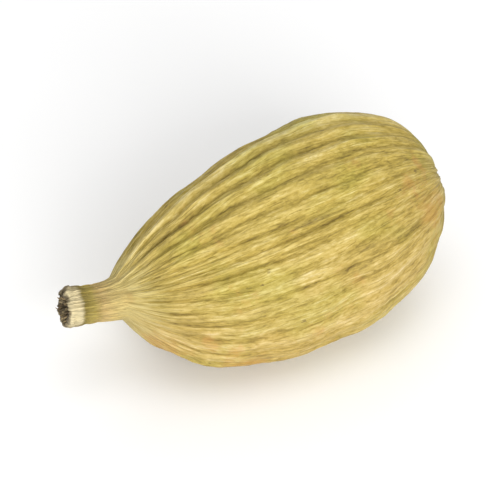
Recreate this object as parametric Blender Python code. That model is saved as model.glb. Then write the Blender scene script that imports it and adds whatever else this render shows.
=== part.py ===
"""A dried green cardamom pod lying on its side: one ribbed husk with the stub of its stalk.

The pod lies along X with the stub at -X, and rests on a small flat spot at z = 0. Its surface starts
as a unit sphere. The sphere's rings are carried along a lengthwise outline, and its meridians follow
a rounded three-sided section with a rib on every fourth one. Lengths are in metres.
"""

import math

import bmesh
import bpy
import numpy as np

MM = 0.001
DEG = math.pi / 180

# Lengthwise outline of the body, from the neck at x = 0 to the far end
BODY_LENGTH = 14.4 * MM
BODY_RADIUS = 4.0 * MM  # mean radius at the widest section
WIDEST = 0.597  # place of the widest section, as a share of the length
NECK_FULLNESS = 2.08  # exponent of the outline on the neck's side, where 2 is an ellipse
FAR_FULLNESS = 2.07
SCAR_RADIUS = 0.62 * MM
SCAR_DEPTH = 0.42 * MM

# Stub of the stalk, from x = -STUB_LENGTH to the neck
STUB_LENGTH = 2.2 * MM
STUB_RADIUS = 0.69 * MM  # at its waist
KNOB_RADIUS = 0.77 * MM
KNOB_LENGTH = 0.62 * MM
END_RADIUS = 0.58 * MM  # of the hollow in the broken end
END_HOLLOW = 0.3 * MM
NECK_RADIUS = 0.86 * MM
NECK_FLARE = 0.55 * MM  # length over which the stub widens into the neck
NECK_BLEND = 1.0 * MM  # length over which the neck sinks into the body
STUB_LIFT = 0.38 * MM  # how far the stub's end bends to the ridge's side
STUB_TILT = 14 * DEG  # how far its end then faces away from the ridge
STUB_RAGGED = 0.07  # unevenness of the broken end's rim, as a share of its radius

# Section of the body: a circle swollen at three corners, as angles from +Y towards +Z
CORNERS = (74 * DEG, 208 * DEG, 332 * DEG)
CORNER_SWELL = (0.2, 0.2, 0.22)  # share of the radius
CORNER_SHARPNESS = 3.0
RIDGE_HEIGHT = 0.12 * MM  # pinched ridge along the first corner
RIDGE_SHARPNESS = 55.0

# The body bulges away from the ridge near the neck, and leans back towards it further on
LEAN_ANGLE = 46 * DEG
BULGE = 0.54 * MM
BULGE_PLACE = 3.3 * MM
LEAN_BACK = 0.35 * MM

# Ribs and broad relief of the husk
RIBS = 34  # an even number, because every second one sinks near the ends
RIDGE_TURN = 2 * math.pi * 7 / RIBS  # the pinched ridge runs along the seventh rib
RIB_HEIGHT = 0.09 * MM
RIB_SEED = 11
RIB_UNEVENNESS = 0.4
STRONG_RIBS = 65 * DEG
RIB_THINNING = 1.4  # share by which the ribs sink from the neck to the far end
THINNEST = 0.45  # share of their height that they keep there
MERGED_SHARE = 0.8  # how far every second rib sinks
MERGE_RADII = (1.2 * MM, 3.6 * MM)  # outline radii between which it sinks
MERGE_SPREAD = 0.25
STUB_RIB_SHARE = 0.35
RIB_CROWDING = ((2, 0.05, 0.6), (3, 0.04, 2.1), (5, 0.022, 4.0), (9, 0.012, 1.3))
RIB_WANDER = 0.035  # radians
FOLD_HEIGHT = 0.06 * MM
SEED_BUMP = 0.035 * MM
SEED_SPACING = 3.1 * MM

# Where it rests
AXIS_HEIGHT = 3.92 * MM  # height of the pod's axis over the flat spot

# Mesh
MERIDIANS_PER_RIB = 4
RINGS = 42
STUB_RING_DENSITY = 2.2
SCAR_RING_DENSITY = 1.9
OUTLINE_STEPS = 1500

HUSK_COLOUR = (0.451, 0.347, 0.114, 1.0)
HUSK_ROUGHNESS = 0.62


def clear_scene():
    for old in list(bpy.data.objects):
        bpy.data.objects.remove(old, do_unlink=True)


def smooth_step(value):
    """Rises smoothly from 0 to 1 as the value goes from 0 to 1."""
    value = np.clip(value, 0.0, 1.0)
    return value * value * (3 - 2 * value)


def stub_outline():
    """Places and radii along the stub: the hollow end, the rounded knob, the waist and the flare."""
    share = np.linspace(0, 1, OUTLINE_STEPS // 5)
    hollow_x = END_HOLLOW * (1 - share**2) - STUB_LENGTH
    hollow_radius = END_RADIUS * share
    side = np.linspace(0, STUB_LENGTH, OUTLINE_STEPS // 3)[1:]
    knob = (KNOB_RADIUS - STUB_RADIUS) * np.exp(-((side / KNOB_LENGTH) ** 2))
    flare = (NECK_RADIUS - STUB_RADIUS) * np.exp((side - STUB_LENGTH) / NECK_FLARE)
    full = STUB_RADIUS + knob + flare
    rounding = np.clip(side / (KNOB_LENGTH * 0.45), 0, 1)
    side_radius = END_RADIUS + (full - END_RADIUS) * np.sqrt(1 - (1 - rounding) ** 2)
    return np.append(hollow_x, side - STUB_LENGTH), np.append(hollow_radius, side_radius)


def body_outline():
    """Places and radii along the body: two unlike oval halves, with the neck and the far scar."""
    turn = np.linspace(0, math.pi, OUTLINE_STEPS)[1:]
    widest = WIDEST * BODY_LENGTH
    slant = np.abs(np.cos(turn))
    near = widest * (1 - slant ** (2 / NECK_FULLNESS))
    far = widest + (BODY_LENGTH - widest) * slant ** (2 / FAR_FULLNESS)
    oval = BODY_RADIUS * np.abs(np.sin(turn))
    is_far = turn > math.pi / 2
    scar = SCAR_DEPTH * np.exp(-((oval / SCAR_RADIUS) ** 2)) * is_far
    x = np.where(is_far, far, near) - scar
    neck = NECK_RADIUS * np.exp(-((x / NECK_BLEND) ** 2))
    radius = np.where(is_far, oval, np.cbrt(neck**3 + oval**3))
    radius[-1] = 0.0
    return x, radius


def ring_places():
    """Place and radius of each ring, and the outline's outward direction there, as (along, out).

    The rings are spaced evenly along the outline, but closer at its two ends.
    """
    stub_x, stub_radius = stub_outline()
    body_x, body_radius = body_outline()
    x = np.append(stub_x, body_x)
    radius = np.append(stub_radius, body_radius)
    step_x = np.gradient(x)
    step_radius = np.gradient(radius)
    step = np.hypot(step_x, step_radius)
    density = np.where(x < 0.5 * MM, STUB_RING_DENSITY, 1.0)
    near_scar = (x > WIDEST * BODY_LENGTH) & (radius < 3 * SCAR_RADIUS)
    density = np.where(near_scar, SCAR_RING_DENSITY, density)
    travelled = np.append(0, np.cumsum((step * density)[1:]))
    stops = np.linspace(0, travelled[-1], RINGS + 2)
    lines = (x, radius, -step_radius / step, step_x / step)
    return [np.interp(stops, travelled, line) for line in lines]


def rib_heights(turn):
    """Height of the ribs at each turn, as a share: a random one for each rib, joined smoothly.

    The ribs round STRONG_RIBS are the highest, and those across from it the lowest.
    """
    heights = np.random.RandomState(RIB_SEED).uniform(0.6, 1.2, RIBS)
    place = np.mod(turn / (2 * math.pi), 1.0) * RIBS
    height = np.interp(place, np.arange(RIBS + 1), np.append(heights, heights[0]))
    return height * (1 + RIB_UNEVENNESS * np.cos(turn - STRONG_RIBS))


def rib_waves(radius, turn):
    """1 along the ribs and -1 between them; where the outline narrows, every second rib sinks."""
    room = radius * (1 + MERGE_SPREAD * np.sin(5 * turn)) - MERGE_RADII[0]
    merged = MERGED_SHARE * (1 - smooth_step(room / (MERGE_RADII[1] - MERGE_RADII[0])))
    return (1 - merged) * np.cos(RIBS * turn) + merged * np.cos(RIBS / 2 * (turn - RIDGE_TURN))


def section_angle(turn, along):
    """Angle round the axis of each meridian, which crowds some ribs and makes them wander."""
    angle = turn + RIB_WANDER * np.sin(5.2 * along + 2 * turn)
    for count, size, phase in RIB_CROWDING:
        angle = angle + size * np.sin(count * turn + phase)
    return angle


def corner_swell(angle):
    """Swelling of the section at its three corners, less what it takes from the faces between."""
    swell = 0.0
    for corner, size in zip(CORNERS, CORNER_SWELL):
        swell = swell + size * np.exp(CORNER_SHARPNESS * (np.cos(angle - corner) - 1))
    return swell - 0.6 * sum(CORNER_SWELL) / len(CORNER_SWELL)


def relief(x, radius, turn, angle, along):
    """Height of the husk's ribs, pinched ridge, broad folds and seed bumps over its plain form."""
    on_body = smooth_step((x + 0.5 * MM) / (2 * MM))
    thinning = np.maximum(1 + RIB_THINNING * (0.5 - along), THINNEST)
    ribs = rib_waves(radius, turn) * 0.5 * RIB_HEIGHT * rib_heights(turn) * thinning
    ribs = ribs * (STUB_RIB_SHARE + (1 - STUB_RIB_SHARE) * on_body)
    ridge = RIDGE_HEIGHT * np.exp(RIDGE_SHARPNESS * (np.cos(turn - RIDGE_TURN) - 1))
    folds = FOLD_HEIGHT * np.sin(5 * angle + 2.6 * along + 0.8) * np.sin(2 * angle + 1.9 - 3.0 * along)
    bumps = SEED_BUMP * np.sin(2 * math.pi * x / SEED_SPACING + 2.2 * np.sin(2 * angle + 0.5))
    return ribs + on_body * (ridge + folds + bumps)


def husk_points(x, radius, facing_along, facing_out, turn):
    """Points of the husk, given each one's place, radius and outward direction on the outline and turn.

    The outline radius is swollen at the corners, and the relief stands out along the outward
    direction, both fading out where the radius goes to nothing. The section's middle then moves
    along one direction: away from the ridge near the neck, back to it at the far end, and to it
    again at the stub's end.
    """
    along = np.clip(x / BODY_LENGTH, 0, 1)
    angle = section_angle(turn, along)
    fade = np.sqrt(np.clip(radius / BODY_RADIUS, 0, 1))
    on_body = smooth_step(x / (2.5 * MM))
    at_end = 1 - smooth_step((x + STUB_LENGTH) / KNOB_LENGTH)
    ragged = STUB_RAGGED * at_end * np.sin(3 * turn + 5 * np.sin(turn))
    height = fade * relief(x, radius, turn, angle, along)
    full = radius * (1 + on_body * corner_swell(angle) + ragged) + height * facing_out
    bulge_share = np.clip(x, 0, None) / BULGE_PLACE
    lean = LEAN_BACK * along**2 - BULGE * bulge_share * np.exp(1 - bulge_share)
    out_on_stub = np.clip(-x / STUB_LENGTH, 0, 1)
    lean = lean + STUB_LIFT * out_on_stub**1.3
    x = x + math.tan(STUB_TILT) * out_on_stub * full * np.cos(angle - LEAN_ANGLE) + height * facing_along
    y = full * np.cos(angle) + lean * math.cos(LEAN_ANGLE)
    z = full * np.sin(angle) + lean * math.sin(LEAN_ANGLE)
    return np.stack([x, y, z], axis=-1)


def rest_on_flat(points):
    """The pod stood at the origin, with what would sink below z = 0 pressed flat."""
    placed = points + [0, 0, AXIS_HEIGHT]
    placed[:, 2] = np.maximum(placed[:, 2], 0.0)
    middle = (placed.min(axis=0) + placed.max(axis=0)) / 2
    placed[:, :2] -= middle[:2]
    return placed


def pod_mesh():
    """A unit sphere whose every vertex is moved to its ring's and meridian's place on the husk."""
    mesh = bpy.data.meshes.new("pod")
    form = bmesh.new()
    bmesh.ops.create_uvsphere(
        form, u_segments=RIBS * MERIDIANS_PER_RIB, v_segments=RINGS + 1, radius=1.0
    )
    sphere = np.array([vertex.co[:] for vertex in form.verts])
    latitude = np.arcsin(np.clip(sphere[:, 2], -1, 1))
    ring = np.rint((latitude / math.pi + 0.5) * (RINGS + 1)).astype(int)
    turn = np.arctan2(sphere[:, 1], sphere[:, 0])
    outline = [line[ring] for line in ring_places()]
    points = rest_on_flat(husk_points(*outline, turn))
    for vertex, point in zip(form.verts, points):
        vertex.co = point
    form.to_mesh(mesh)
    form.free()
    mesh.shade_smooth()
    return mesh


def husk_material():
    material = bpy.data.materials.new("husk")
    material.use_nodes = True
    shader = material.node_tree.nodes["Principled BSDF"]
    shader.inputs["Base Color"].default_value = HUSK_COLOUR
    shader.inputs["Roughness"].default_value = HUSK_ROUGHNESS
    shader.inputs["Metallic"].default_value = 0.0
    return material


def main():
    clear_scene()
    collection = bpy.data.collections.new("green cardamom pod")
    bpy.context.scene.collection.children.link(collection)
    pod = bpy.data.objects.new("pod", pod_mesh())
    pod.data.materials.append(husk_material())
    collection.objects.link(pod)


main()
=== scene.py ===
"""The looks of one dried green cardamom pod, lying on a pale sheet in soft studio light.

The husk is one closed surface over the pod's solid: the same lengthwise outline, three-cornered
section and ribs, with furrows, veins, wrinkles and a torn stub added. Frayed fibres stand at the
stub's end. Lengths are in metres, and the pod lies along X with its stub at -X.
"""
import math

import bpy
import numpy as np
from mathutils import Matrix, Vector


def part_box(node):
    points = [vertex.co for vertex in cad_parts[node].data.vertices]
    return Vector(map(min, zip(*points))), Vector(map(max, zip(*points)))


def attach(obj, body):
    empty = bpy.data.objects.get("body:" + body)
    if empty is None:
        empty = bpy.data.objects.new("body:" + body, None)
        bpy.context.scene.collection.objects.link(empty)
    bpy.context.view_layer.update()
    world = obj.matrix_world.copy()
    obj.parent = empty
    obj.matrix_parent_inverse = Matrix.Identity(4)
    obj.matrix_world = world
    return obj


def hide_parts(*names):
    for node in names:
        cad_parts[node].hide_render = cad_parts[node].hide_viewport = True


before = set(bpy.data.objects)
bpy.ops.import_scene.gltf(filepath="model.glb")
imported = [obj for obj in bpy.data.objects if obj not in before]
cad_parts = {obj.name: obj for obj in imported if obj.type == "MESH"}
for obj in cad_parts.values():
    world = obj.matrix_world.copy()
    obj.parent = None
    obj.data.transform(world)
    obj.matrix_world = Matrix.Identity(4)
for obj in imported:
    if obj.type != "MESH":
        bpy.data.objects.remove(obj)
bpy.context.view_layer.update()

MM = 0.001
DEG = math.pi / 180
FULL_TURN = 2 * math.pi

# Lengthwise outline, as in the pod's solid
BODY_LENGTH = 14.4 * MM
BODY_RADIUS = 4.0 * MM
WIDEST = 0.597  # share of the body's length
NECK_FULLNESS = 2.08
FAR_FULLNESS = 2.07
SCAR_RADIUS = 0.62 * MM
SCAR_DEPTH = 0.42 * MM
STUB_LENGTH = 2.2 * MM
STUB_RADIUS = 0.69 * MM
KNOB_RADIUS = 0.77 * MM
KNOB_LENGTH = 0.62 * MM
KNOB_ROUNDING = 0.45  # share of the knob's length
END_RADIUS = 0.58 * MM
END_HOLLOW = 0.3 * MM
NECK_RADIUS = 0.86 * MM
NECK_FLARE = 0.55 * MM
NECK_BLEND = 1.0 * MM
STUB_LIFT = 0.38 * MM
STUB_BEND = 1.3
STUB_TILT = 14 * DEG
STUB_RAGGED = 0.07

# Section, lean and ribs, as in the pod's solid; a rise or fade gives its start and its length
CORNERS = (74 * DEG, 208 * DEG, 332 * DEG)
CORNER_SWELL = (0.2, 0.2, 0.22)
CORNER_SHARPNESS = 3.0
FACE_SHARE = 0.6  # of the mean swelling, taken from the faces
SECTION_RISE = (0, 2.5 * MM)
RIDGE_HEIGHT = 0.12 * MM
RIDGE_SHARPNESS = 55.0
LEAN_ANGLE = 46 * DEG
BULGE = 0.54 * MM
BULGE_PLACE = 3.3 * MM
LEAN_BACK = 0.35 * MM
RIBS = 34
RIDGE_TURN = FULL_TURN * 7 / RIBS  # on the seventh rib
RIB_HEIGHT = 0.09 * MM
RIB_SEED = 11
RIB_SHARES = (0.6, 1.2)  # lowest and highest rib
RIB_UNEVENNESS = 0.4
STRONG_RIBS = 65 * DEG
RIB_THINNING = 1.4
THINNEST = 0.45
MERGED_SHARE = 0.8
MERGE_RADII = (1.2 * MM, 3.6 * MM)
MERGE_SPREAD = 0.25
RIB_RISE = (-0.5 * MM, 2 * MM)
STUB_RIB_SHARE = 0.35
RIB_CROWDING = ((2, 0.05, 0.6), (3, 0.04, 2.1), (5, 0.022, 4.0), (9, 0.012, 1.3))
RIB_WANDER = 0.035
FOLD_HEIGHT = 0.06 * MM
SEED_BUMP = 0.035 * MM
SEED_SPACING = 3.1 * MM
AXIS_HEIGHT = 3.92 * MM

# Fine relief of the husk; places on a rib's wave are in radians
FINE_RISE = (-0.3 * MM, 1.6 * MM)
FURROW_DEPTH = 0.03 * MM
FURROW_WIDTH = 0.55
FURROW_AT_NECK = 1.45  # share of the depth
FURROW_THINNING = 1.1
RIB_DRIFT_SIZE = 0.4
VEINS = ((0.0, 1.0), (2.0, 0.5), (-1.9, 0.55))  # place on a rib's wave and share of the height
VEIN_HEIGHT = 0.034 * MM
VEIN_WIDTH = 0.55
VEIN_DRIFT_SIZE = 0.35
WRINKLE_HEIGHT = 0.011 * MM
CRINKLE_HEIGHT = 0.009 * MM
DENT_DEPTH = 0.035 * MM
PUCKER_HEIGHT = 0.05 * MM
PUCKERS = 17
PUCKER_RISE = (0.86, 0.1)  # shares of the body's length
NECK_ROUGHNESS = 0.5  # share by which the fine relief is higher at the neck
NECK_REACH = 0.4  # share of the body's length

# Relief of the torn stub
STUB_FADE = (-0.6 * MM, 0.8 * MM)
TORN_FADE = (0.05 * MM - STUB_LENGTH, 0.4 * MM)
TORN_HEIGHT = 0.028 * MM
STALK_FIBRE_HEIGHT = 0.018 * MM
RING_GROOVES = ((0.33 * MM, 0.045 * MM), (0.78 * MM, 0.035 * MM), (1.25 * MM, 0.02 * MM))
RING_GROOVE_WIDTH = 0.09 * MM
CENTRE_RADIUS = 0.3 * MM  # round the axis, where the torn relief fades

# Chance waves: how many, how many of them go round the pod, their spacing along it, and a seed
RIB_DRIFT = (26, (1, 12), (4 * MM, 14 * MM), 21)
FURROW_SWELL = (30, (6, 30), (4 * MM, 14 * MM), 22)
VEIN_DRIFT = (20, (4, 20), (4 * MM, 12 * MM), 41)
VEIN_SWELL = (30, (8, 40), (2 * MM, 9 * MM), 51)
WRINKLES = (60, (50, 150), (1.5 * MM, 7 * MM), 25)
CRINKLES = (80, (15, 75), (0.38 * MM, 0.8 * MM), 26)
DENTS = (24, (2, 9), (2.2 * MM, 6 * MM), 27)
STALK_FIBRES = (40, (9, 40), (1.2 * MM, 6 * MM), 31)
TORN_LUMPS = (40, (2, 14), (0.3 * MM, 1.1 * MM), 32)

# Fields that the husk's material reads
CREST_WINDOW = (7, 5)  # steps each way, round and along, over which the mean height is taken
CREST_HEIGHT = 0.05 * MM
FLAT_GROOVE = 0.035 * MM  # height at which grooves stay open over the flat spot
GRAIN_RADIUS = 4  # millimetres
RIDGE_LINE_SHARPNESS = 240.0
RIDGE_LINE_RISE = (-0.2 * MM, 1.5 * MM)
STALK_FADE = (-0.5 * MM, 1.2 * MM)
SHOULDER_PLACE = 0.1 * MM
SHOULDER_WIDTH = 0.9 * MM
SCAR_SPREAD = 1.15

# Fine mesh of the husk
MERIDIANS = RIBS * 14
RINGS = 206
STUB_RING_DENSITY = 1.7
STUB_RINGS_END = 0.5 * MM
SCAR_RING_DENSITY = 1.5
OUTLINE_STEPS = 4000

# Frayed fibres of the stub's end
FIBRES = 13
FIBRE_SEED = 7
FIBRE_SIDES = 6
FIBRE_STEPS = 7
FIBRE_LENGTH = (0.03 * MM, 0.15 * MM)
FIBRE_RADIUS = (0.022 * MM, 0.045 * MM)
FIBRE_PLACE = (0.62, 0.98)  # share of the end's radius
FIBRE_SUNK = 0.16 * MM
FIBRE_TAPER = 0.92

# Photograph's view of the pod
VIEW_AZIMUTH = -29.5 * DEG
VIEW_ELEVATION = 40 * DEG
LENS = 250
SENSOR = 36
FRAME_WIDTH = 19.6 * MM  # width of what the camera sees at the pod's middle
AIM = Vector((-0.1, 0.0, 4.0)) * MM
CLIP_RANGE = (0.005, 10)

# Studio: each light's name, azimuth and elevation in degrees, side in metres and strength
LIGHTS = (
    ("front_softbox", -14, 22, 0.28, 0.84),
    ("overhead_softbox", -20, 80, 0.34, 0.20),
    ("back_fill", 150, 35, 0.30, 0.10),
)
LIGHT_DISTANCE = 0.45
ROOM_LIGHT = 0.54
EXPOSURE = 0.15
SHEET_SIZE = 3.0
SHEET_GAP = 0.01 * MM  # under the pod, so that the two never share a plane

# Colours of the dry husk from its darkest to its palest places, linear
HUSK_SHADES = (
    (0.00, (0.153, 0.101, 0.0155, 1)),
    (0.25, (0.270, 0.196, 0.033, 1)),
    (0.50, (0.410, 0.299, 0.059, 1)),
    (0.75, (0.527, 0.405, 0.114, 1)),
    (1.00, (0.657, 0.540, 0.228, 1)),
)
OLIVE_CAST = (0.86, 0.95, 0.72, 1)
TAN_CAST = (1.00, 0.955, 1.16, 1)
RUST = (0.468, 0.243, 0.059, 1)
PALE_STRAW = (0.660, 0.560, 0.250, 1)
SPECK_BROWN = (0.108, 0.068, 0.027, 1)
SCAR_BROWN = (0.130, 0.078, 0.032, 1)
BROKEN_BROWN = (0.104, 0.078, 0.040, 1)
PITH = (0.378, 0.288, 0.149, 1)
FIBRE_BROWN = (0.10, 0.065, 0.03, 1)
FIBRE_TAN = (0.30, 0.215, 0.10, 1)

# What makes the husk lighter: its weight, and the value at which it changes nothing
HUSK_LIGHTNESS = 0.51
LIGHTNESS_PARTS = (
    # painted highlight: the crests of the relief are lighter
    ("crest", 0.055, 0),
    # painted shade: the furrows between the ribs are darker
    ("furrow", -0.2, 0.18),
    # painted highlight: a pale line along the crest of the pinched ridge
    ("ridge", 0.3, 0),
    ("streak", 0.6, 0.5),
    ("thread", 0.8, 0.5),
    ("fleck", 0.85, 0.5),
    ("dot", 0.7, 0.5),
    ("patch", 0.35, 0.5),
    # painted shade: the side of the strong ribs, turned up and back from the front light, is a little
    # darker
    ("strong_side", -0.03, 0),
    ("fibre", 0.15, 0.2),
    ("crack", -0.11, 0.2),
)

# What raises the husk's finest bumps, in the same form, and their height
BUMP_PARTS = (
    ("thread", 1.0, 0),
    ("grit", 0.55, 0),
    ("streak", 0.8, 0),
    ("fibre", 0.22, 0),
    ("crack", -0.3, 0),
)
BUMP_HEIGHT = 0.035 * MM
HUSK_IOR = 1.42

# Colours along the stub, from its broken end to its neck
STUB_SHADES = (
    (0.00, (0.180, 0.140, 0.078, 1)),
    (0.06, (0.270, 0.216, 0.122, 1)),
    (0.20, (0.300, 0.240, 0.120, 1)),
    # olive waist behind the knob, its darkness partly painted shade
    (0.30, (0.250, 0.190, 0.042, 1)),
    (0.45, (0.370, 0.285, 0.066, 1)),
    (0.62, (0.480, 0.345, 0.130, 1)),
    (0.78, (0.510, 0.385, 0.140, 1)),
    (1.00, (0.560, 0.440, 0.160, 1)),
)
# painted highlight: the pale ring at the stub's end, painted only on its side facing the front light
PAINTED_HIGHLIGHT_RING = (0.640, 0.540, 0.310, 1)
LIT_SIDE = 146 * DEG  # side of the stub on which its end is palest

# Patterns: how fine each is, in waves a millimetre, and how streaks are drawn out along the pod
BROAD_STREAKS = (2.2, 9.0)
SHORT_STREAKS = (4.3, 3.0)
STALK_STREAKS = (6.0, 5.0)
THREAD_FINENESS = 3.1  # times the streaks' fineness
LINE_FINENESS = 1.7
PATCH_FINENESS = 0.34
OLIVE_FINENESS = 0.42
RUST_FINENESS = 0.55
MARK_EDGE_FINENESS = 1.1
SPECK_FINENESS = 1.35
CLUSTER_FINENESS = 0.8
STALK_FINENESS = 2.6
PITH_FINENESS = 3.6
GRIT_FINENESS = 14
SHEET_FINENESS = 0.05
DRAWN_OUT = (0.6, 1, 1)
PATCH_DRAWN_OUT = (0.7, 1, 1)
LINE_DRAWN_OUT = (1, 1, 0.4)

# Rust-coloured marks on the husk: their places and reach in millimetres
RUST_MARKS = (
    ((-5.1, -1.6, 2.0), 1.5),
    ((-2.2, -3.4, 1.3), 1.3),
    ((6.8, -2.4, 5.0), 1.4),
)


def smooth_step(value):
    """Rises smoothly from 0 to 1 as the value goes from 0 to 1."""
    value = np.clip(value, 0.0, 1.0)
    return value * value * (3 - 2 * value)


def rising(place, start, length):
    """Rises smoothly from 0 at the start to 1 over that length."""
    return smooth_step((place - start) / length)


def hump(distance, width):
    """Bell curve: 1 at distance 0, and 1/e at a width from it."""
    return np.exp(-((distance / width) ** 2))


def wave_sum(turn, x, waves, number=0):
    """Smooth unevenness of spread 1: sine waves of chance direction and phase added up.

    waves says how many, the fewest and most that go round the pod, the shortest and longest
    spacing along it, and a seed, to which number is added.
    """
    count, around, spacing, seed = waves
    chance = np.random.RandomState(seed + number)
    total = 0.0
    for _ in range(count):
        round_pod = chance.randint(around[0], around[1] + 1) * chance.choice((-1, 1))
        along_pod = FULL_TURN / chance.uniform(*spacing) * chance.choice((-1, 1))
        total = total + np.sin(round_pod * turn + along_pod * x + chance.uniform(0, FULL_TURN))
    return total / math.sqrt(count / 2)


def stub_outline():
    """Places and radii along the stub: the hollow end, the rounded knob, the waist and the flare."""
    share = np.linspace(0, 1, OUTLINE_STEPS // 5)
    hollow_x = END_HOLLOW * (1 - share**2) - STUB_LENGTH
    hollow_radius = END_RADIUS * share
    side = np.linspace(0, STUB_LENGTH, OUTLINE_STEPS // 3)[1:]
    knob = (KNOB_RADIUS - STUB_RADIUS) * hump(side, KNOB_LENGTH)
    flare = (NECK_RADIUS - STUB_RADIUS) * np.exp((side - STUB_LENGTH) / NECK_FLARE)
    full = STUB_RADIUS + knob + flare
    rounding = np.clip(side / (KNOB_LENGTH * KNOB_ROUNDING), 0, 1)
    side_radius = END_RADIUS + (full - END_RADIUS) * np.sqrt(1 - (1 - rounding) ** 2)
    return np.append(hollow_x, side - STUB_LENGTH), np.append(hollow_radius, side_radius)


def body_outline():
    """Places and radii along the body: two unlike oval halves, with the neck and the far scar."""
    turn = np.linspace(0, math.pi, OUTLINE_STEPS)[1:]
    widest = WIDEST * BODY_LENGTH
    slant = np.abs(np.cos(turn))
    near = widest * (1 - slant ** (2 / NECK_FULLNESS))
    far = widest + (BODY_LENGTH - widest) * slant ** (2 / FAR_FULLNESS)
    oval = BODY_RADIUS * np.abs(np.sin(turn))
    is_far = turn > math.pi / 2
    scar = SCAR_DEPTH * hump(oval, SCAR_RADIUS) * is_far
    x = np.where(is_far, far, near) - scar
    neck = NECK_RADIUS * hump(x, NECK_BLEND)
    radius = np.where(is_far, oval, np.cbrt(neck**3 + oval**3))
    radius[-1] = 0.0
    return x, radius


def ring_places():
    """Place and radius of each ring, and the outline's outward direction there, as (along, out).

    The rings stand evenly along the outline, but closer on the stub and round the far scar.
    """
    stub_x, stub_radius = stub_outline()
    body_x, body_radius = body_outline()
    x = np.append(stub_x, body_x)
    radius = np.append(stub_radius, body_radius)
    step_x = np.gradient(x)
    step_radius = np.gradient(radius)
    step = np.hypot(step_x, step_radius)
    density = np.where(x < STUB_RINGS_END, STUB_RING_DENSITY, 1.0)
    near_scar = (x > WIDEST * BODY_LENGTH) & (radius < 3 * SCAR_RADIUS)
    density = np.where(near_scar, SCAR_RING_DENSITY, density)
    travelled = np.append(0, np.cumsum((step * density)[1:]))
    stops = np.linspace(0, travelled[-1], RINGS + 2)
    lines = (x, radius, -step_radius / step, step_x / step)
    return [np.interp(stops, travelled, line)[:, None] for line in lines]


def rib_heights(turn):
    """Height of the ribs at each turn, as a share: a random one for each rib, joined smoothly.

    The ribs round STRONG_RIBS are the highest and those across from it the lowest.
    """
    heights = np.random.RandomState(RIB_SEED).uniform(*RIB_SHARES, RIBS)
    place = np.mod(turn / FULL_TURN, 1.0) * RIBS
    height = np.interp(place, np.arange(RIBS + 1), np.append(heights, heights[0]))
    return height * (1 + RIB_UNEVENNESS * np.cos(turn - STRONG_RIBS))


def rib_waves(radius, turn):
    """1 along the ribs and -1 between them; where the outline narrows, every second rib sinks."""
    room = radius * (1 + MERGE_SPREAD * np.sin(5 * turn)) - MERGE_RADII[0]
    merged = MERGED_SHARE * (1 - smooth_step(room / (MERGE_RADII[1] - MERGE_RADII[0])))
    return (1 - merged) * np.cos(RIBS * turn) + merged * np.cos(RIBS / 2 * (turn - RIDGE_TURN))


def section_angle(turn, along):
    """Angle round the axis of each meridian, which crowds some ribs and makes them wander."""
    angle = turn + RIB_WANDER * np.sin(5.2 * along + 2 * turn)
    for count, size, phase in RIB_CROWDING:
        angle = angle + size * np.sin(count * turn + phase)
    return angle


def corner_swell(angle):
    """Swelling of the section at its three corners, less what it takes from the faces between."""
    swell = 0.0
    for corner, size in zip(CORNERS, CORNER_SWELL):
        swell = swell + size * np.exp(CORNER_SHARPNESS * (np.cos(angle - corner) - 1))
    return swell - FACE_SHARE * sum(CORNER_SWELL) / len(CORNER_SWELL)


def ridge_share(turn, sharpness):
    """1 along the pinched ridge, falling to 0 beside it."""
    return np.exp(sharpness * (np.cos(turn - RIDGE_TURN) - 1))


def main_relief(x, radius, turn, angle, along):
    """Height of the ribs, pinched ridge, broad folds and seed bumps, as in the pod's solid."""
    on_body = rising(x, *RIB_RISE)
    thinning = np.maximum(1 + RIB_THINNING * (0.5 - along), THINNEST)
    ribs = rib_waves(radius, turn) * 0.5 * RIB_HEIGHT * rib_heights(turn) * thinning
    ribs = ribs * (STUB_RIB_SHARE + (1 - STUB_RIB_SHARE) * on_body)
    ridge = RIDGE_HEIGHT * ridge_share(turn, RIDGE_SHARPNESS)
    folds = FOLD_HEIGHT * np.sin(5 * angle + 2.6 * along + 0.8) * np.sin(2 * angle + 1.9 - 3.0 * along)
    bumps = SEED_BUMP * np.sin(FULL_TURN * x / SEED_SPACING + 2.2 * np.sin(2 * angle + 0.5))
    return ribs + on_body * (ridge + folds + bumps)


def vein(phase, place, width):
    """Round-topped line of height 1 where a rib's wave has the phase place, width in radians."""
    return hump(np.mod(phase - place + math.pi, FULL_TURN) - math.pi, width)


def fine_relief(x, turn, along):
    """Height of what is finer than the ribs, and the share of a furrow at each point.

    A narrow furrow deepens the trough between two ribs, and three thin veins stand on each rib;
    all wander, swell and fade along the pod. Lengthwise wrinkles, a faint cross crinkle and shallow
    dents lie over them, and the far end is puckered.
    """
    on_body = rising(x, *FINE_RISE)
    phase = RIBS * turn + RIB_DRIFT_SIZE * wave_sum(turn, x, RIB_DRIFT)
    depth = np.clip(0.7 + 0.35 * wave_sum(turn, x, FURROW_SWELL), 0.1, 1.4)
    depth = depth * (FURROW_AT_NECK - FURROW_THINNING * along)
    furrow = depth * vein(phase, math.pi, FURROW_WIDTH)
    relief = -FURROW_DEPTH * furrow
    for number, (place, share) in enumerate(VEINS):
        drift = VEIN_DRIFT_SIZE * wave_sum(turn, x, VEIN_DRIFT, number)
        height = np.clip(0.6 + 0.5 * wave_sum(turn, x, VEIN_SWELL, number), 0, 1.6)
        relief = relief + VEIN_HEIGHT * share * height * vein(phase, place + drift, VEIN_WIDTH)
    relief = relief + WRINKLE_HEIGHT * wave_sum(turn, x, WRINKLES)
    in_trough = 0.65 - 0.35 * np.cos(phase)
    relief = relief + CRINKLE_HEIGHT * in_trough * wave_sum(turn, x, CRINKLES)
    relief = relief - DENT_DEPTH * np.clip(wave_sum(turn, x, DENTS) - 0.5, 0, 2)
    pucker = np.cos(PUCKERS * turn + 0.8 * np.sin(3 * turn)) * rising(along, *PUCKER_RISE)
    return on_body * (relief + PUCKER_HEIGHT * pucker), on_body * furrow


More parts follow.
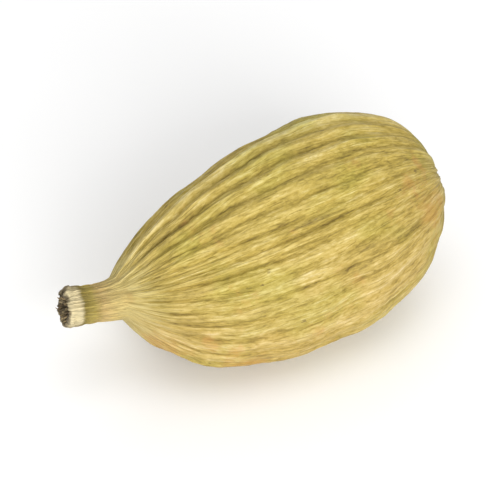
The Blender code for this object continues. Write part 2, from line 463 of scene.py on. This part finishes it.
def torn_relief(x, turn):
    """Height of the stub's fibres and ring grooves, and of the torn lumps on its broken end."""
    on_stub = 1 - rising(x, *STUB_FADE)
    at_end = 1 - rising(x, *TORN_FADE)
    fibres = STALK_FIBRE_HEIGHT * wave_sum(turn, x, STALK_FIBRES)
    lumps = TORN_HEIGHT * wave_sum(turn, x, TORN_LUMPS)
    ring_place = x + STUB_LENGTH + 0.04 * MM * np.sin(2 * turn + 1) + 0.02 * MM * np.sin(5 * turn)
    grooves = 0.0
    for place, depth in RING_GROOVES:
        grooves = grooves - depth * hump(ring_place - place, RING_GROOVE_WIDTH)
    return on_stub * fibres + at_end * lumps + grooves * on_stub


def main_form(x, radius, facing_along, facing_out, turn):
    """Points of the solid's own form, and its relief's height, at each ring place and turn.

    The radius grows by the corners' swelling and the relief, and goes round an axis that bulges
    and leans towards LEAN_ANGLE. The stub's broken end is ragged and tilted.
    """
    along = np.clip(x / BODY_LENGTH, 0, 1)
    angle = section_angle(turn, along)
    fade = np.sqrt(np.clip(radius / BODY_RADIUS, 0, 1))
    at_end = 1 - rising(x, -STUB_LENGTH, KNOB_LENGTH)
    ragged = STUB_RAGGED * at_end * np.sin(3 * turn + 5 * np.sin(turn))
    height = fade * main_relief(x, radius, turn, angle, along)
    swell = rising(x, *SECTION_RISE) * corner_swell(angle)
    full = radius * (1 + swell + ragged) + height * facing_out
    bulge_share = np.clip(x, 0, None) / BULGE_PLACE
    lean = LEAN_BACK * along**2 - BULGE * bulge_share * np.exp(1 - bulge_share)
    out_on_stub = np.clip(-x / STUB_LENGTH, 0, 1)
    lean = lean + STUB_LIFT * out_on_stub**STUB_BEND
    tilt = math.tan(STUB_TILT) * out_on_stub * full * np.cos(angle - LEAN_ANGLE)
    y = full * np.cos(angle) + lean * math.cos(LEAN_ANGLE)
    z = full * np.sin(angle) + lean * math.sin(LEAN_ANGLE)
    return np.stack([x + tilt + height * facing_along, y, z], axis=-1), height


def outward(points):
    """Unit normals of a grid of rings, from the steps to the neighbours along and around."""
    along = np.gradient(points, axis=0)
    around = np.roll(points, -1, axis=1) - np.roll(points, 1, axis=1)
    normal = np.cross(around, along)
    size = np.linalg.norm(normal, axis=-1, keepdims=True)
    return normal / np.maximum(size, 1e-15)


def blurred(height, around, along):
    """Mean of a grid of heights over a window of that many steps each way."""
    total = sum(np.roll(height, step, axis=1) for step in range(-around, around + 1))
    total = total / (2 * around + 1)
    padded = np.pad(total, ((along, along), (0, 0)), mode="edge")
    sums = np.cumsum(np.vstack([np.zeros((1, total.shape[1])), padded]), axis=0)
    window = 2 * along + 1
    return (sums[window:] - sums[:-window]) / window


def hollow_share(radius):
    """1 in the stub's broken hollow end, as far as its rim, and 0 past it."""
    rim = np.argmax(radius > 0.999 * END_RADIUS)
    return np.where(np.arange(len(radius))[:, None] <= rim, 1.0, 0.0)


def scar_share(x, radius):
    """1 in the far end's scar, falling to 0 round it."""
    return (x > WIDEST * BODY_LENGTH) * hump(radius, SCAR_SPREAD * SCAR_RADIUS)


def husk_grid():
    """Points of the husk with all its relief, and the fields that its material reads.

    Grain holds the place round a rod of GRAIN_RADIUS and the place along the pod, in millimetres,
    so that a pattern on it follows the ribs.
    """
    x, radius, facing_along, facing_out = ring_places()
    turn = np.arange(MERIDIANS) * FULL_TURN / MERIDIANS + 0 * x
    along = np.clip(x / BODY_LENGTH, 0, 1)
    points, height = main_form(x, radius, facing_along, facing_out, turn)
    fade = np.sqrt(np.clip(radius / BODY_RADIUS, 0, 1))
    fine, furrow = fine_relief(x, turn, along)
    fine = fade * fine * (1 + NECK_ROUGHNESS * (1 - smooth_step(along / NECK_REACH)))
    fine = fine + np.clip(radius / CENTRE_RADIUS, 0, 1) * torn_relief(x, turn)
    points = points + outward(points) * fine[..., None]
    total = height + fine
    crest = np.clip((total - blurred(total, *CREST_WINDOW)) / CREST_HEIGHT, -1, 1)
    points[..., 2] += AXIS_HEIGHT
    # Nothing dips below the flat spot, and the grooves stay open over it
    points[..., 2] = np.maximum(points[..., 2], FLAT_GROOVE * np.clip(-crest, 0, 1))
    fields = {
        "crest": crest,
        # furrow holds the painted shade in the furrows, deeper on the side of the strong ribs
        "furrow": furrow * (0.7 + 0.4 * np.cos(turn - STRONG_RIBS)),
        # ridge holds the painted highlight along the pinched ridge
        "ridge": ridge_share(turn, RIDGE_LINE_SHARPNESS) * rising(x, *RIDGE_LINE_RISE),
        "shoulder": hump(x - SHOULDER_PLACE, SHOULDER_WIDTH),
        "stub": 1 - rising(x, *STALK_FADE),
        "scar": scar_share(x, radius),
        "broken": hollow_share(radius),
    }
    fields = {name: values + 0 * turn for name, values in fields.items()}
    fields["grain"] = np.stack([GRAIN_RADIUS * np.cos(turn), GRAIN_RADIUS * np.sin(turn),
                                x / MM + 0 * turn], axis=-1)
    return points, fields


def ring_mesh(name, points, fields):
    """Closed smooth mesh of a grid of rings, whose first and last ring are each one point.

    fields gives each point's values of the attributes that the materials read.
    """
    rings, count = points.shape[0] - 2, points.shape[1]
    flat = np.concatenate([points[:1, 0], points[1:-1].reshape(-1, 3), points[-1:, 0]])
    ring, side = np.meshgrid(np.arange(rings - 1), np.arange(count), indexing="ij")
    beside = (side + 1) % count
    quads = np.stack([ring * count + side, ring * count + beside,
                      (ring + 1) * count + beside, (ring + 1) * count + side], axis=-1) + 1
    side = np.arange(count)
    beside = (side + 1) % count
    last = (rings - 1) * count + 1
    first_cap = np.stack([np.zeros_like(side), beside + 1, side + 1], axis=-1)
    last_cap = np.stack([np.full_like(side, len(flat) - 1), last + side, last + beside], axis=-1)
    corners = np.concatenate([quads.ravel(), first_cap.ravel(), last_cap.ravel()])
    sizes = np.concatenate([np.full(quads.size // 4, 4), np.full(2 * count, 3)])
    mesh = bpy.data.meshes.new(name)
    mesh.vertices.add(len(flat))
    mesh.vertices.foreach_set("co", flat.astype(np.float32).ravel())
    mesh.loops.add(len(corners))
    mesh.loops.foreach_set("vertex_index", corners.astype(np.int32))
    mesh.polygons.add(len(sizes))
    mesh.polygons.foreach_set("loop_start", (np.cumsum(sizes) - sizes).astype(np.int32))
    mesh.update(calc_edges=True)
    for field_name, values in fields.items():
        is_vector = values.ndim == 3
        kept = np.concatenate([values[:1, 0], values[1:-1].reshape(-1, *values.shape[2:]), values[-1:, 0]])
        layer = mesh.attributes.new(field_name, "FLOAT_VECTOR" if is_vector else "FLOAT", "POINT")
        layer.data.foreach_set("vector" if is_vector else "value", kept.astype(np.float32).ravel())
    mesh.shade_smooth()
    return mesh


def fibre_path(chance, place):
    """Path of one frayed fibre, out of the stub's rim and bending aside, and its thickness.

    Its distance from the axis and its turn round it change with the square of the way along it.
    """
    turn = place * FULL_TURN + chance.uniform(-0.15, 0.15)
    reach = chance.uniform(*FIBRE_PLACE) * END_RADIUS
    share = np.linspace(0, 1, FIBRE_STEPS)
    length = chance.uniform(*FIBRE_LENGTH)
    out = reach + length * chance.uniform(-0.1, 0.45) * share**2
    side = turn + chance.uniform(-0.35, 0.35) * share**2
    x = -STUB_LENGTH + FIBRE_SUNK - (length + FIBRE_SUNK) * share
    x = x + math.tan(STUB_TILT) * out * np.cos(side - LEAN_ANGLE)
    y = out * np.cos(side) + STUB_LIFT * math.cos(LEAN_ANGLE)
    z = out * np.sin(side) + STUB_LIFT * math.sin(LEAN_ANGLE) + AXIS_HEIGHT
    return np.stack([x, y, z], axis=-1), chance.uniform(*FIBRE_RADIUS)


def strand(path, thickness):
    """Rings of points round a path, round in section and tapering to the tip."""
    ahead = np.gradient(path, axis=0)
    ahead = ahead / np.linalg.norm(ahead, axis=1, keepdims=True)
    side = np.cross(ahead, [0.0, 0.0, 1.0])
    side = side / np.linalg.norm(side, axis=1, keepdims=True)
    up = np.cross(side, ahead)
    turn = np.arange(FIBRE_SIDES) * FULL_TURN / FIBRE_SIDES
    taper = thickness * np.sqrt(1 - np.linspace(0, FIBRE_TAPER, len(path)) ** 2)
    across = np.cos(turn)[None, :, None] * side[:, None] + np.sin(turn)[None, :, None] * up[:, None]
    return path[:, None] + taper[:, None, None] * across


def strand_faces():
    """Faces of one closed strand: the quads between its rings, its root and its tip."""
    ring, side = np.meshgrid(np.arange(FIBRE_STEPS - 1), np.arange(FIBRE_SIDES), indexing="ij")
    here = ring * FIBRE_SIDES
    ahead = here + FIBRE_SIDES
    beside = (side + 1) % FIBRE_SIDES
    quads = np.stack([here + side, ahead + side, ahead + beside, here + beside], axis=-1)
    root = np.arange(FIBRE_SIDES)
    tip = (FIBRE_STEPS - 1) * FIBRE_SIDES + root[::-1]
    return [*quads.reshape(-1, 4), root, tip]


def fibre_mesh():
    """All the frayed fibres of the stub's end in one mesh, each a closed tapering strand."""
    chance = np.random.RandomState(FIBRE_SEED)
    vertices, faces = [], []
    for number in range(FIBRES):
        path, thickness = fibre_path(chance, number / FIBRES)
        start = number * FIBRE_STEPS * FIBRE_SIDES
        vertices.append(strand(path, thickness).reshape(-1, 3))
        faces.extend((start + face).tolist() for face in strand_faces())
    mesh = bpy.data.meshes.new("stub_fibres")
    mesh.from_pydata(np.concatenate(vertices).tolist(), [], faces)
    mesh.update()
    mesh.shade_smooth()
    return mesh


def place_piece(name, mesh, material, *replaced):
    """Puts a piece in the scene with the material given, riding on the pod's body, and hides the solids it
    replaces.
    """
    piece = bpy.data.objects.new(name, mesh)
    bpy.context.scene.collection.objects.link(piece)
    mesh.materials.append(material)
    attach(piece, "root")
    if replaced:
        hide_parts(*replaced)


def add_node(tree, kind, settings=None, **inputs):
    """A new shader node with its settings, and each input's value or link, by the input's name."""
    node = tree.nodes.new("ShaderNode" + kind)
    for name, value in (settings or {}).items():
        setattr(node, name, value)
    for name, value in inputs.items():
        connect(tree, node.inputs[name.replace("_", " ")], value)
    return node


def connect(tree, socket, value):
    """Links a node's output to the input socket, or sets the input to a plain value."""
    if isinstance(value, bpy.types.NodeSocket):
        tree.links.new(value, socket)
    else:
        socket.default_value = value


def maths(tree, operation, first, second=0.0):
    """Result of a Math node on two values, or on the first alone."""
    node = add_node(tree, "Math", {"operation": operation})
    connect(tree, node.inputs[0], first)
    connect(tree, node.inputs[1], second)
    return node.outputs[0]


def product(tree, first, *others):
    """Values multiplied with one another."""
    for other in others:
        first = maths(tree, "MULTIPLY", first, other)
    return first


def spread(tree, value, low, high, start=0.0, end=1.0):
    """A value between low and high mapped smoothly to start and end."""
    node = add_node(tree, "MapRange", {"interpolation_type": "SMOOTHSTEP"}, Value=value, From_Min=low,
                    From_Max=high, To_Min=start, To_Max=end)
    return node.outputs["Result"]


def mixed(tree, share, first, second, blend="MIX"):
    """Colour between the first and the second, or the second blended over the first."""
    node = add_node(tree, "Mix", {"data_type": "RGBA", "blend_type": blend})
    connect(tree, node.inputs[0], share)
    connect(tree, node.inputs[6], first)
    connect(tree, node.inputs[7], second)
    return node.outputs[2]


def weighed(tree, base, *parts):
    """Base plus each value's distance from its own middle times its weight.

    Each part is a value, its weight and its middle.
    """
    total = base - sum(weight * middle for _, weight, middle in parts)
    for value, weight, _ in parts:
        node = add_node(tree, "Math", {"operation": "MULTIPLY_ADD"})
        connect(tree, node.inputs[0], value)
        connect(tree, node.inputs[1], weight)
        connect(tree, node.inputs[2], total)
        total = node.outputs[0]
    return total


def weighed_by_name(tree, base, values, parts):
    """The same as weighed, with each part's value given by its name."""
    return weighed(tree, base, *((values[name], weight, middle) for name, weight, middle in parts))


def shades(tree, value, stops):
    """Colour of a value between 0 and 1, from places and colours in rising order."""
    node = add_node(tree, "ValToRGB", None, Fac=value)
    elements = node.color_ramp.elements
    for (place, colour), element in zip((stops[0], stops[-1]), elements):
        element.position = place
        element.color = colour
    for place, colour in stops[1:-1]:
        elements.new(place).color = colour
    return node.outputs["Color"]


def field(tree, name, output="Fac"):
    """A field of the mesh, by its attribute's name."""
    return add_node(tree, "Attribute", {"attribute_name": name}).outputs[output]


def on_vectors(tree, operation, first, second):
    """A Vector Math node on two vectors."""
    node = add_node(tree, "VectorMath", {"operation": operation})
    connect(tree, node.inputs[0], first)
    connect(tree, node.inputs[1], second)
    return node


def scaled(tree, vector, scale):
    """A vector with each part times its own scale."""
    return on_vectors(tree, "MULTIPLY", vector, scale).outputs[0]


def noise(tree, vector, scale, detail=2.0, roughness=0.5):
    """Value of a Noise texture, around 0.5."""
    node = add_node(tree, "TexNoise", None, Vector=vector, Scale=scale, Detail=detail, Roughness=roughness)
    return node.outputs["Fac"]


def grey(tree, value):
    """A value as a grey colour."""
    return add_node(tree, "CombineColor", None, Red=value, Green=value, Blue=value).outputs["Color"]


def in_millimetres(tree):
    """Object coordinates in millimetres."""
    place = add_node(tree, "TexCoord").outputs["Object"]
    return scaled(tree, place, (1 / MM, 1 / MM, 1 / MM))


def facing(tree, grain, direction):
    """Cosine of the angle round the pod between each place and a direction."""
    towards = (math.cos(direction) / GRAIN_RADIUS, math.sin(direction) / GRAIN_RADIUS, 0)
    return on_vectors(tree, "DOT_PRODUCT", grain, towards).outputs["Value"]


def rust_mark(tree, place, centre, reach):
    """Share of a blotch round a place: it fades to 0 at its ragged edge, reach away."""
    distance = on_vectors(tree, "DISTANCE", place, centre).outputs["Value"]
    ragged = noise(tree, place, MARK_EDGE_FINENESS, 4, 0.65)
    distance = weighed(tree, 0.0, (distance, 1.0, 0), (ragged, 3.0 * reach, 0.5))
    return spread(tree, distance, 0.0, reach, 0.5, 0.0)


def fibre_streaks_group():
    """Lengthwise streaks: noise drawn out along the third part of the grain, and a finer one.

    Lines is 1 along thin lines, where a noise drawn out still more passes through its middle.
    """
    group = bpy.data.node_groups.new("lengthwise fibre streaks", "ShaderNodeTree")
    group.interface.new_socket("Grain", in_out="INPUT", socket_type="NodeSocketVector")
    for name in ("Fineness", "Draw Out"):
        group.interface.new_socket(name, in_out="INPUT", socket_type="NodeSocketFloat")
    for name in ("Streaks", "Threads", "Lines"):
        group.interface.new_socket(name, in_out="OUTPUT", socket_type="NodeSocketFloat")
    inside = group.nodes.new("NodeGroupInput")
    outside = group.nodes.new("NodeGroupOutput")
    fineness = inside.outputs["Fineness"]
    parts = add_node(group, "SeparateXYZ", None, Vector=inside.outputs["Grain"])
    shorter = maths(group, "DIVIDE", parts.outputs["Z"], inside.outputs["Draw Out"])
    drawn = add_node(group, "CombineXYZ", None, X=parts.outputs["X"], Y=parts.outputs["Y"], Z=shorter)
    broad = noise(group, drawn.outputs[0], fineness, 3, 0.55)
    threads = noise(group, drawn.outputs[0], product(group, fineness, THREAD_FINENESS), 2, 0.6)
    longer = scaled(group, drawn.outputs[0], LINE_DRAWN_OUT)
    line_noise = noise(group, longer, product(group, fineness, LINE_FINENESS), 0.6, 0.5)
    from_middle = maths(group, "ABSOLUTE", maths(group, "SUBTRACT", line_noise, 0.5))
    lines = spread(group, from_middle, 0.008, 0.034, 1.0, 0.0)
    group.links.new(broad, outside.inputs["Streaks"])
    group.links.new(threads, outside.inputs["Threads"])
    group.links.new(lines, outside.inputs["Lines"])
    return group


def streaks(tree, group, grain, fineness, draw_out):
    """The shared streaks placed in a material."""
    node = tree.nodes.new("ShaderNodeGroup")
    node.node_tree = group
    connect(tree, node.inputs["Grain"], grain)
    connect(tree, node.inputs["Fineness"], fineness)
    connect(tree, node.inputs["Draw Out"], draw_out)
    return node.outputs["Streaks"], node.outputs["Threads"], node.outputs["Lines"]


def new_material(name):
    """An empty node material, its tree and its Principled shader."""
    material = bpy.data.materials.new(name)
    material.use_nodes = True
    return material, material.node_tree, material.node_tree.nodes["Principled BSDF"]


def husk_patterns(tree, group, place, grain):
    """Values that the husk's finish is mixed from, by name: the mesh's fields and the patterns."""
    names = ("crest", "furrow", "ridge", "shoulder", "stub", "scar", "broken")
    values = {name: field(tree, name) for name in names}
    values["streak"], values["thread"], values["fibre"] = streaks(tree, group, grain, *BROAD_STREAKS)
    values["fleck"], values["dot"], values["crack"] = streaks(tree, group, grain, *SHORT_STREAKS)
    values["patch"] = noise(tree, scaled(tree, place, PATCH_DRAWN_OUT), PATCH_FINENESS, 3, 0.55)
    values["grit"] = noise(tree, place, GRIT_FINENESS, 3, 0.6)
    values["strong_side"] = facing(tree, grain, STRONG_RIBS)
    return values


def husk_colour(tree, place, values):
    """Straw to olive by lightness, which holds painted highlights and shade, with olive patches, and tan
    across from the strong ribs.
    """
    lightness = weighed_by_name(tree, HUSK_LIGHTNESS, values, LIGHTNESS_PARTS)
    colour = shades(tree, lightness, HUSK_SHADES)
    olive = noise(tree, scaled(tree, place, DRAWN_OUT), OLIVE_FINENESS, 2)
    colour = mixed(tree, spread(tree, olive, 0.45, 0.65, 0.0, 0.75), colour, OLIVE_CAST, "MULTIPLY")
    weak_side = spread(tree, values["strong_side"], -0.8, 0.6, 1.0, 0.0)
    return mixed(tree, weak_side, colour, TAN_CAST, "MULTIPLY")


def with_marks(tree, place, values, colour):
    """The husk's colour with its pale shoulder at the neck, rust-coloured marks and dark specks."""
    shoulder = product(tree, values["shoulder"], spread(tree, values["fleck"], 0.35, 0.65, 0.1, 0.75))
    colour = mixed(tree, shoulder, colour, PALE_STRAW)
    rust = spread(tree, noise(tree, place, RUST_FINENESS, 4, 0.62), 0.58, 0.72, 0.0, 0.5)
    for centre, reach in RUST_MARKS:
        rust = maths(tree, "MAXIMUM", rust, rust_mark(tree, place, centre, reach))
    colour = mixed(tree, rust, colour, RUST)
    cells = add_node(tree, "TexVoronoi", None, Vector=scaled(tree, place, DRAWN_OUT), Scale=SPECK_FINENESS)
    from_speck = weighed(tree, 0.0, (cells.outputs["Distance"], 1.0, 0), (values["dot"], 0.5, 0.5))
    speck = spread(tree, from_speck, 0.03, 0.1, 1.0, 0.0)
    cluster = spread(tree, noise(tree, place, CLUSTER_FINENESS, 1), 0.50, 0.58)
    return mixed(tree, product(tree, speck, cluster, 0.6), colour, SPECK_BROWN)


def stalk_colour(tree, place, grain, values):
    """The stub's dark end, a pale ring painted as a highlight on its side facing the front light, the
    olive waist with painted shade behind the knob, and the paler neck.
    """
    from_neck = add_node(tree, "SeparateXYZ", None, Vector=grain).outputs["Z"]
    from_end = maths(tree, "ADD", from_neck, STUB_LENGTH / MM)
    along_stub = maths(tree, "DIVIDE", from_end, STUB_LENGTH / MM)
    uneven = noise(tree, place, STALK_FINENESS, 3, 0.6)
    along_stub = weighed(tree, 0.0, (along_stub, 1.0, 0), (uneven, 0.16, 0.5))
    # painted highlight: the pale ring lies only on the side facing the front light
    on_lit_side = spread(tree, facing(tree, grain, LIT_SIDE), 0.1, 0.75)
    ring = product(tree, spread(tree, along_stub, 0.2, 0.3, 1.0, 0.0), on_lit_side,
                   spread(tree, along_stub, 0.0, 0.05))
    colour = mixed(tree, ring, shades(tree, along_stub, STUB_SHADES), PAINTED_HIGHLIGHT_RING)
    light = weighed(tree, 1.0, (values["thread"], 1.3, 0.5), (values["dot"], 0.9, 0.5))
    return mixed(tree, 1.0, colour, grey(tree, light), "MULTIPLY")


def with_scar_and_break(tree, place, values, colour):
    """The colour with the far end's brown scar, and with pith and brown in the stub's broken end."""
    scar = weighed(tree, 0.0, (values["scar"], 1.0, 0), (values["dot"], 0.9, 0.5))
    colour = mixed(tree, spread(tree, scar, 0.12, 0.62, 0.0, 0.9), colour, SCAR_BROWN)
    pith = spread(tree, noise(tree, place, PITH_FINENESS, 2), 0.46, 0.6)
    return mixed(tree, values["broken"], colour, mixed(tree, pith, BROKEN_BROWN, PITH))


def husk_material(group):
    """Dry husk with its stub: satin on the crests, duller in the troughs, with fibrous bumps."""
    material, tree, shader = new_material("dry husk")
    place = in_millimetres(tree)
    grain = field(tree, "grain", "Vector")
    values = husk_patterns(tree, group, place, grain)
    colour = with_marks(tree, place, values, husk_colour(tree, place, values))
    colour = mixed(tree, values["stub"], colour, stalk_colour(tree, place, grain, values))
    colour = with_scar_and_break(tree, place, values, colour)
    tree.links.new(colour, shader.inputs["Base Color"])
    rough = spread(tree, values["crest"], -0.8, 0.9, 0.74, 0.50)
    rough = maths(tree, "ADD", rough, spread(tree, values["thread"], 0.3, 0.7, -0.06, 0.08))
    tree.links.new(rough, shader.inputs["Roughness"])
    shader.inputs["IOR"].default_value = HUSK_IOR
    height = weighed_by_name(tree, 0.0, values, BUMP_PARTS)
    bump = add_node(tree, "Bump", None, Strength=1.0, Distance=BUMP_HEIGHT, Height=height)
    tree.links.new(bump.outputs["Normal"], shader.inputs["Normal"])
    return material


def fibre_material(group):
    """Frayed stalk fibre: dull tan to brown, streaked along the stub."""
    material, tree, shader = new_material("stalk fibre")
    turned = add_node(tree, "Mapping", None, Vector=in_millimetres(tree), Rotation=(0, 90 * DEG, 0))
    streak, thread, _ = streaks(tree, group, turned.outputs["Vector"], *STALK_STREAKS)
    colour = mixed(tree, spread(tree, streak, 0.35, 0.65), FIBRE_BROWN, FIBRE_TAN)
    tree.links.new(colour, shader.inputs["Base Color"])
    tree.links.new(spread(tree, thread, 0.3, 0.7, 0.6, 0.85), shader.inputs["Roughness"])
    return material


def sheet_material():
    """Pale matte sheet with a trace of unevenness."""
    material, tree, shader = new_material("pale sheet")
    shade = spread(tree, noise(tree, in_millimetres(tree), SHEET_FINENESS, 2), 0.3, 0.7, 0.94, 0.96)
    tree.links.new(grey(tree, shade), shader.inputs["Base Color"])
    shader.inputs["Roughness"].default_value = 0.9
    shader.inputs["Specular IOR Level"].default_value = 0.1
    return material


def make_floor():
    """The pale sheet under the pod."""
    bpy.ops.mesh.primitive_plane_add(size=SHEET_SIZE, location=(0, 0, -SHEET_GAP))
    floor = bpy.context.object
    floor.name = "pale_sheet"
    floor.data.materials.append(sheet_material())


def seen_from(azimuth, elevation):
    """Direction from the pod to a place at that azimuth and elevation; azimuth 0 is at -Y."""
    return Vector((math.sin(azimuth) * math.cos(elevation),
                   -math.cos(azimuth) * math.cos(elevation), math.sin(elevation)))


def make_camera():
    """The camera at the photograph's viewing angle, far off behind a long lens."""
    camera = bpy.data.objects.new("camera", bpy.data.cameras.new("camera"))
    bpy.context.scene.collection.objects.link(camera)
    camera.data.lens = LENS
    camera.data.sensor_width = SENSOR
    distance = FRAME_WIDTH * LENS / SENSOR
    back = seen_from(VIEW_AZIMUTH, VIEW_ELEVATION)
    camera.location = AIM + back * distance
    camera.rotation_euler = (-back).to_track_quat("-Z", "Y").to_euler()
    camera.data.clip_start, camera.data.clip_end = CLIP_RANGE
    bpy.context.scene.camera = camera


def soft_light(name, azimuth, elevation, size, strength):
    """A square soft light that faces the pod, unseen by the camera itself."""
    light = bpy.data.lights.new(name, "AREA")
    light.size = size
    light.energy = strength * math.pi**2 * LIGHT_DISTANCE**2
    holder = bpy.data.objects.new(name, light)
    bpy.context.scene.collection.objects.link(holder)
    back = seen_from(azimuth * DEG, elevation * DEG)
    holder.location = back * LIGHT_DISTANCE
    holder.rotation_euler = (-back).to_track_quat("-Z", "Y").to_euler()
    holder.visible_camera = False


def make_lights():
    """The soft lights, the even light of the room and the exposure."""
    for light in LIGHTS:
        soft_light(*light)
    world = bpy.data.worlds.new("studio")
    bpy.context.scene.world = world
    world.use_nodes = True
    background = world.node_tree.nodes["Background"]
    background.inputs["Color"].default_value = (ROOM_LIGHT, ROOM_LIGHT, ROOM_LIGHT, 1)
    bpy.context.scene.view_settings.view_transform = "Standard"
    bpy.context.scene.view_settings.exposure = EXPOSURE


def shift_onto_solid(points):
    """Shift in X and Y from the middle of the points' box to the middle of the solid's."""
    low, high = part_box("pod")
    middle = (points.reshape(-1, 3).min(axis=0) + points.reshape(-1, 3).max(axis=0)) / 2
    return np.array([(low.x + high.x) / 2 - middle[0], (low.y + high.y) / 2 - middle[1], 0])


def main():
    """The camera, the pod's two pieces, the sheet and the lights."""
    make_camera()
    group = fibre_streaks_group()
    points, fields = husk_grid()
    shift = shift_onto_solid(points)
    place_piece("husk", ring_mesh("husk", points + shift, fields), husk_material(group), "pod")
    fibres = fibre_mesh()
    fibres.transform(Matrix.Translation(Vector(shift)))
    place_piece("stub_fibres", fibres, fibre_material(group))
    make_floor()
    make_lights()


main()
